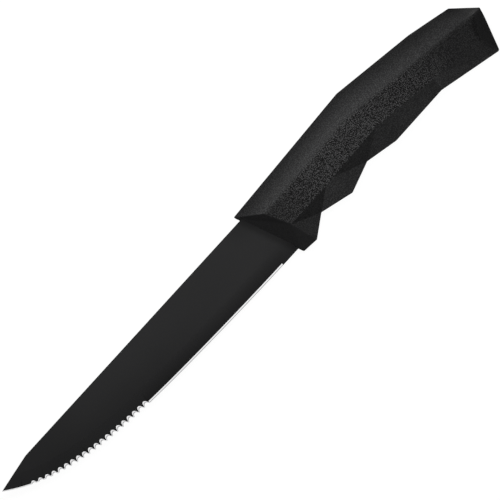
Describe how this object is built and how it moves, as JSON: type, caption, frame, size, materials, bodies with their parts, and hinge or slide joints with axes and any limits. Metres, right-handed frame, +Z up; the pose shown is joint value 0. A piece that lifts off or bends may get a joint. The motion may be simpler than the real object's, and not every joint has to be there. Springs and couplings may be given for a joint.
{
  "type": "steak knife",
  "caption": "Steak knife with a coated blade, scalloped along its front half, and a moulded handle cut in flat facets with finger grooves.",
  "frame": {"origin": "centre of the footprint of the knife lying flat, on the surface that it lies on", "axes": "+X along the spine from the tip to the butt, +Y from the edge towards the spine, +Z up through the flat cheek of the handle that the picture shows"},
  "size_m": [0.228, 0.0306, 0.016],
  "materials": {
    "coated_steel": "matt black non-stick coat on stainless steel, bare and bright where the edge and the scallops are ground",
    "core_plastic": "hard black first-shot moulding, hidden inside the grip",
    "grip_plastic": "black moulded plastic with a fine spark-eroded grain on its facets"
  },
  "bodies": {
    "root": {"blade": "coated_steel", "handle_core": "core_plastic", "handle_grip": "grip_plastic"}
  },
  "joints": []
}
